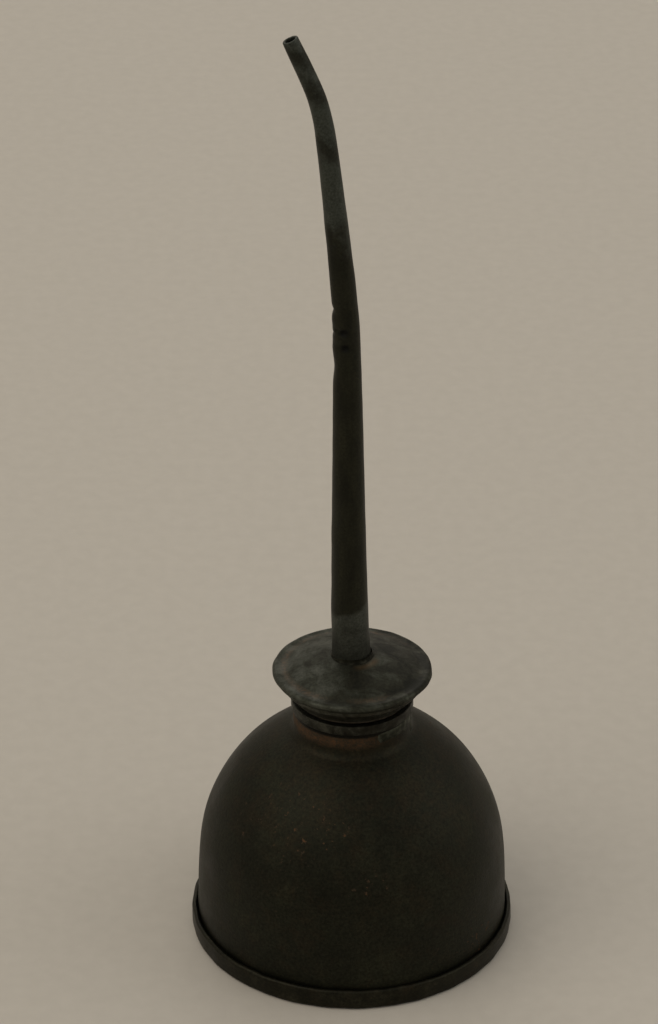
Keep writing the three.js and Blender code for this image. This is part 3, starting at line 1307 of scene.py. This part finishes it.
@dataclass
class Washer:
    """The leather washer between the bushing and the cap."""

    bore: float = 7.4
    softening: float = 0.18
    swell: Point = (0.08, 1.5)

    def build(self) -> list[bpy.types.Object]:
        """Cuts and dresses the washer.

        Returns:
            The washer.
        """
        size = Extent.of("gasket")
        under = [(self.bore, size.low), (size.radius, size.low)]
        corners = [*under, (size.radius, size.high), (self.bore, size.high)]
        outline = soften(corners, self.softening)
        piece = revolve("leather_washer", outline, ROUND, uneven(*self.swell))
        return [settle(piece, OiledLeather().material(), "washer", "gasket_leather", "gasket")]


@dataclass
class ScrewCap:
    """The cap: a turned piece that screws into the bushing, and the domed plate on top of it."""

    thread: ScrewThread
    root: float = 6.6
    undercut: float = 0.1
    shank_top: float = 39.0
    seat_radius: float = 8.8
    seat: float = 39.75
    flare_rise: float = 1.75
    bore: float = 5.4
    sheet: float = 0.5
    hem_radius: float = 11.0
    edge: float = 43.15
    corner: float = 0.65
    channel: Point = (10.3, 43.68)
    crown_foot: Point = (9.7, 43.86)
    crown_pull: Point = (6.6, 45.1)
    hole: float = 2.99
    turned_softening: float = 0.15
    pressed_softening: float = 0.12
    dip_rows: int = 8
    crown_rows: int = 26
    plate_swell: Point = (0.09, 2.2)

    def __post_init__(self) -> None:
        """Reads the sizes of both pieces from the frame."""
        self.screw = Extent.of("cap_screw_shell")
        self.plate = Extent.of("cap_top_plate")

    def build_screw(self) -> bpy.types.Object:
        """Turns the threaded shank, its seat for the washer and the flare above it.

        Returns:
            The turned piece.
        """
        relief = self.root - self.undercut
        outline = [
            *self.thread.wall(self.root, self.screw.low, self.shank_top),
            (relief, self.shank_top + self.undercut),
            (relief, self.seat),
            (self.seat_radius, self.seat),
            (self.screw.radius, self.seat + self.flare_rise),
            (self.screw.radius, self.screw.high),
            (self.bore, self.screw.high),
            (self.bore, self.screw.low),
        ]
        outline = soften(outline, self.turned_softening)
        return revolve("cap_screw", outline, ROUND, self.thread.relief(self.root))

    def crown(self) -> Outline:
        """Draws the top of the plate.

        Returns:
            Its points, from the channel inside its hem to the spout's hole.
        """
        rim_top = (self.plate.radius - self.corner, self.edge + self.corner)
        top = (self.hole, self.plate.high)
        dip = bezier([rim_top, self.channel, self.crown_foot], self.dip_rows)
        return dip[1:] + bezier([self.crown_foot, self.crown_pull, top], self.crown_rows)[1:]

    def build_plate(self) -> bpy.types.Object:
        """Presses the domed plate and rolls its hem.

        Returns:
            The plate.
        """
        bullnose = arc((self.plate.radius - self.corner, self.edge), self.corner, 0, 90)
        path = [(self.hem_radius, self.plate.low), *bullnose, *self.crown()]
        outline = soften(thicken(path, self.sheet), self.pressed_softening)
        return revolve("cap_plate", outline, FINE, uneven(*self.plate_swell))

    def build(self) -> list[bpy.types.Object]:
        """Makes and dresses both pieces.

        Returns:
            The turned piece and the plate.
        """
        turned = TarnishedZinc(
            name="oil_darkened_turned_screw",
            dark="#22221b",
            warm="#2f2d23",
            middle="#3a3a32",
            pale="#4d4e46",
            blotch=1.8,
        )
        # The plate's rim takes a painted highlight.
        plate = TarnishedZinc(channel_rust=0.55, edge_highlight=0.11)
        screw, dome, body = self.build_screw(), self.build_plate(), "spout_cap"
        return [
            settle(screw, turned.material(), body, "bushing_zinc", "cap_screw_shell"),
            settle(dome, plate.material(), body, "cap_zinc", "cap_top_plate"),
        ]


@dataclass(frozen=True)
class Dent:
    """A soft dent: its height, its direction in degrees, its depth, and how far it spreads."""

    height: float
    towards: float
    depth: float
    tall: float
    wide: float

    def depth_at(self, angle: float, height: float) -> float:
        """Depth of the dent at an angle in radians and a height."""
        away = turn_between(angle, math.radians(self.towards)) / math.radians(self.wide)
        return self.depth * math.exp(-(((height - self.height) / self.tall) ** 2) - away**2)


class Route:
    """A smooth centreline through a few places, measured along its length."""

    def __init__(self, knots: Sequence[Point], steps: int = 24) -> None:
        """Lays a centripetal spline through the knots.

        Args:
            knots: The places that it goes through, each an X and a Z.
            steps: Steps from each knot to the next.
        """
        places = [Vector((x, 0.0, z)) for x, z in knots]
        ends = [2 * places[0] - places[1], *places, 2 * places[-1] - places[-2]]
        self.places = [places[0]]
        for before, start, end, after in zip(ends, ends[1:], ends[2:], ends[3:]):
            gaps = [(b - a).length ** 0.5 for a, b in ((before, start), (start, end), (end, after))]
            chord = (end - start) / gaps[1]
            leave = (start - before) / gaps[0] - (end - before) / (gaps[0] + gaps[1]) + chord
            arrive = chord - (after - start) / (gaps[1] + gaps[2]) + (after - end) / gaps[2]
            leave, arrive = leave * gaps[1], arrive * gaps[1]
            for i in range(1, steps + 1):
                s = i / steps
                bend = (3 * (end - start) - 2 * leave - arrive) * s**2
                twist = (2 * (start - end) + leave + arrive) * s**3
                self.places.append(start + leave * s + bend + twist)
        self.marks = [0.0]
        for a, b in zip(self.places, self.places[1:]):
            self.marks.append(self.marks[-1] + (b - a).length)

    @property
    def length(self) -> float:
        """The whole length."""
        return self.marks[-1]

    def at(self, distance: float) -> tuple[Vector, Vector]:
        """Finds a point of the route.

        Args:
            distance: How far along the route it is.

        Returns:
            Its place, and the route's heading there.
        """
        i = min(max(bisect.bisect_right(self.marks, distance) - 1, 0), len(self.places) - 2)
        share = (distance - self.marks[i]) / (self.marks[i + 1] - self.marks[i])
        heading = self.heading(i).lerp(self.heading(i + 1), share).normalized()
        return self.places[i].lerp(self.places[i + 1], share), heading

    def heading(self, i: int) -> Vector:
        """The heading at one of the route's own places."""
        before, after = self.places[max(i - 1, 0)], self.places[min(i + 1, len(self.places) - 1)]
        return (after - before).normalized()


@dataclass
class Spout:
    """The long tapered spout, its dents and its seam, and the solder round its foot."""

    cap: ScrewCap
    foot_radius: float = 2.79
    tip_radius: float = 1.12
    wall: float = 0.4
    lip: float = 0.12
    seam_depth: float = 0.07
    seam_width: float = 0.11
    knots: tuple[Point, ...] = (
        (0.0, 43.6),
        (-0.35, 51.5),
        (-0.95, 97.0),
        (-1.25, 102.5),
        (-3.55, 124.8),
        (-4.2, 129.4),
        (-4.9, 132.2),
        (-6.0, 135.1),
        (-8.55, 140.9),
    )
    dents: tuple[Dent, ...] = (
        Dent(98.3, -102, 0.38, 0.42, 21),
        Dent(96.0, -96, 0.38, 0.44, 20),
        Dent(98.7, -128, 0.16, 0.3, 16),
        Dent(97.2, -110, -0.1, 0.5, 40),
        Dent(101.5, Side.LEFT.value, 0.26, 0.5, 32),
        Dent(97.9, Side.LEFT.value, 0.14, 0.3, 28),
        Dent(92.6, Side.LEFT.value, 0.2, 1.5, 34),
        Dent(100.0, -165, -0.08, 0.7, 30),
        Dent(95.6, -165, -0.08, 0.9, 30),
    )
    shaded_dents: int = 2
    dented: Point = (43.0, 61.0)
    ripple: float = 0.05
    ripple_length: float = 4.0
    tube_rows: int = 80
    dented_rows: int = 140
    solder_lift: float = 0.1
    solder_rise: float = 0.5
    solder_spread: float = 0.32
    solder_fit: float = 0.02
    solder_rows: int = 14
    solder_swell: Point = (0.08, 1.3)

    def __post_init__(self) -> None:
        """Lays the centreline."""
        self.route = Route(self.knots)

    def radius(self, along: float) -> float:
        """The tube's outer radius, which tapers evenly from the plate's hole to the tip.

        Args:
            along: How far along the centreline.

        Returns:
            The radius there.
        """
        hidden = self.cap.plate.high - self.knots[0][1]
        share = (along - hidden) / (self.route.length - hidden)
        return mix(self.foot_radius, self.tip_radius, share)

    def worn_in(self, angle: float, height: float) -> float:
        """How far the dents, the seam and hand-rolling sink the surface.

        Args:
            angle: Where round the tube, in radians.
            height: How high.

        Returns:
            The depth there.
        """
        seam = turn_between(angle, math.radians(Side.BACK.value)) / self.seam_width
        groove = self.seam_depth * math.exp(-(seam**2))
        waves = Vector((math.cos(angle), math.sin(angle), height / self.ripple_length))
        ripple = self.ripple * noise.noise(waves)
        return groove + ripple + sum(dent.depth_at(angle, height) for dent in self.dents)

    def build_tube(self) -> bpy.types.Object:
        """Rolls the tube round its centreline.

        Returns:
            The tube, open at both ends.
        """
        end = self.route.length
        low, high = self.dented
        marks = line((0, 0), (low, 0), self.tube_rows)[:-1]
        marks += line((low, 0), (high, 0), self.dented_rows)[:-1]
        marks += line((high, 0), (end - self.lip, 0), self.tube_rows)
        outside = [(self.radius(a), a) for a, _ in marks]
        rounding = self.wall / 2
        mouth = (self.radius(end) - rounding, end - self.lip)
        turns = [math.radians(a) for a in range(20, 180, 20)]
        lip = [
            (mouth[0] + rounding * math.cos(t), mouth[1] + self.lip * math.sin(t)) for t in turns
        ]
        # The inside needs only every fourth row.
        inside = [(r - self.wall, a) for r, a in reversed(outside[::4])]
        back = Vector((0.0, 1.0, 0.0))
        rows = []
        for radius, along in outside + lip + inside:
            place, heading = self.route.at(along)
            side = Vector((heading.z, 0.0, -heading.x))
            row = []
            for j in range(SLENDER):
                angle = 2 * math.pi * j / SLENDER
                out = radius - self.worn_in(angle, place.z)
                row.append(place + side * (out * math.cos(angle)) + back * (out * math.sin(angle)))
            rows.append(row)
        return grid("spout_tube_rolled", rows)

    def creases(self) -> tuple[Point3, ...]:
        """Finds the dents whose creases take painted shade.

        Returns:
            The deepest place of each, in millimetres.
        """
        route = list(zip(self.route.places, self.route.marks))
        places = []
        for dent in self.dents[: self.shaded_dents]:
            centre, along = min(route, key=lambda stop: abs(stop[0].z - dent.height))
            angle = math.radians(dent.towards)
            out = self.radius(along) - dent.depth
            places.append((centre.x + out * math.cos(angle), out * math.sin(angle), dent.height))
        return tuple(places)

    def build_solder(self) -> bpy.types.Object:
        """Wipes a fillet of solder round the spout's foot.

        Returns:
            The fillet, hollow between the tube and the crown.
        """
        lift, fit = self.solder_lift, self.solder_fit
        foot = self.cap.plate.high + lift
        bore = self.foot_radius + fit
        slope = (self.cap.plate.high - self.cap.crown_pull[1]) / (self.cap.crown_pull[0] - bore)
        toe = (bore + self.solder_spread, foot - fit - slope * self.solder_spread)
        top = (bore, foot + self.solder_rise)
        hollow = bezier([toe, (bore + lift, foot + lift), top], self.solder_rows)
        outline = [(bore, foot - lift), *hollow]
        return revolve("spout_solder_fillet", outline, ROUND, uneven(*self.solder_swell))

    def build(self) -> list[bpy.types.Object]:
        """Makes and dresses both pieces.

        Returns:
            The tube and its solder.
        """
        # Painted shade: the fillet is coloured near-black for the dark line where the tube meets
        # the plate.
        solder = SoftSolder(
            name="shade_darkened_solder", flux="#10100b", skin="#1c1c15", bright="#35352c"
        )
        steel = WornTinnedSteel(creases=self.creases())
        return [
            settle(self.build_tube(), steel.material(), "spout_cap", "spout_steel", "spout_tube"),
            settle(self.build_solder(), solder.material(), "spout_cap", "solder", "spout_solder"),
        ]


@dataclass(frozen=True)
class Softbox:
    """A square soft light: its name, its place and side in metres, its watts and its colour."""

    name: str
    place: Point3
    side: float
    power: float
    tint: str

    def hang(self, aim: Point3) -> None:
        """Hangs the light so that it faces a place.

        Args:
            aim: The place, in metres.
        """
        data = bpy.data.lights.new(self.name, "AREA")
        data.size = self.side
        data.energy = self.power
        data.color = linear(self.tint)[:3]
        light = bpy.data.objects.new(self.name, data)
        light.location = self.place
        towards = Vector(aim) - Vector(self.place)
        light.rotation_euler = towards.to_track_quat("-Z", "Y").to_euler()
        bpy.context.scene.collection.objects.link(light)


@dataclass
class Studio:
    """A pale paper sweep, soft lights and the camera. Its lengths are in metres."""

    floor_radius: float = 1.3
    sweep_radius: float = 0.5
    sweep_rows: int = 16
    wall_top: float = 0.6
    air: str = "#e4ded4"
    ambient: float = 0.46
    lit: Point3 = (0.0, 0.0, 0.05)
    lights: tuple[Softbox, ...] = (
        Softbox("key_softbox", (-0.75, -0.35, 0.95), 1.0, 3.4, "#fff4e4"),
        Softbox("fill_softbox", (0.95, 0.0, 0.55), 0.9, 1.7, "#f8f4ee"),
        Softbox("back_softbox", (-0.1, 0.95, 0.7), 0.9, 1.7, "#fff8ee"),
    )
    distance: float = 0.585
    elevation: float = 35.0
    aim_height: float = 0.0693
    aim_side: float = -0.00337
    lens: float = 136.18
    clip: tuple[float, float] = (0.01, 20.0)

    def build_sweep(self) -> bpy.types.Object:
        """Spreads the paper.

        Returns:
            The paper: flat under the can, and curving up to a wall all round.
        """
        scale = 1 / MM
        centre = (self.floor_radius * scale, self.sweep_radius * scale)
        curve = arc(centre, self.sweep_radius * scale, 270, 360, self.sweep_rows)
        wall = (curve[-1][0], self.wall_top * scale)
        outline = [(0.0, 0.0), (centre[0] / 3, 0.0), *curve, wall]
        turns = [2 * math.pi * j / ROUND for j in range(ROUND)]
        rows = [[Vector((r * math.cos(a), r * math.sin(a), h)) for a in turns] for r, h in outline]
        sweep = grid("paper_sweep", rows, closed_rows=False)
        sweep.data.materials.append(StudioPaper().material())
        return sweep

    def add_lights(self) -> None:
        """Hangs a large key light, a weak fill and one behind, and lets the air glow a little."""
        for softbox in self.lights:
            softbox.hang(self.lit)
        world = bpy.data.worlds.new("studio_air")
        world.use_nodes = True
        backdrop = world.node_tree.nodes["Background"]
        backdrop.inputs["Color"].default_value = linear(self.air)
        backdrop.inputs["Strength"].default_value = self.ambient
        bpy.context.scene.world = world

    def add_camera(self) -> None:
        """Stands the camera in front of the can and above it, and frames the can upright."""
        data = bpy.data.cameras.new("camera")
        data.lens = self.lens
        data.clip_start, data.clip_end = self.clip
        camera = bpy.data.objects.new("camera", data)
        rise = math.radians(self.elevation)
        camera.location = (0.0, -self.distance * math.cos(rise), self.distance * math.sin(rise))
        towards = Vector((self.aim_side, 0.0, self.aim_height)) - camera.location
        camera.rotation_euler = towards.to_track_quat("-Z", "Y").to_euler()
        bpy.context.scene.collection.objects.link(camera)
        bpy.context.scene.camera = camera

    def build(self) -> None:
        """Sets up the paper, the lights, the camera and a plain view of colour."""
        self.build_sweep()
        self.add_lights()
        self.add_camera()
        bpy.context.scene.view_settings.view_transform = "Standard"


def main() -> None:
    """Builds the can from the bottom up, then the studio."""
    logging.basicConfig(level=logging.INFO, format="%(name)s: %(message)s")
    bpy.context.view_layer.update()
    thread = ScrewThread()
    bell = BellBody()
    cap = ScrewCap(thread)
    for part in (bell, SpringBottom(), NeckBushing(bell, thread), Washer(), cap, Spout(cap)):
        for piece in part.build():
            log.info("%s: %d faces", piece.name, len(piece.data.polygons))
    Studio().build()


if __name__ == "__main__":
    main()
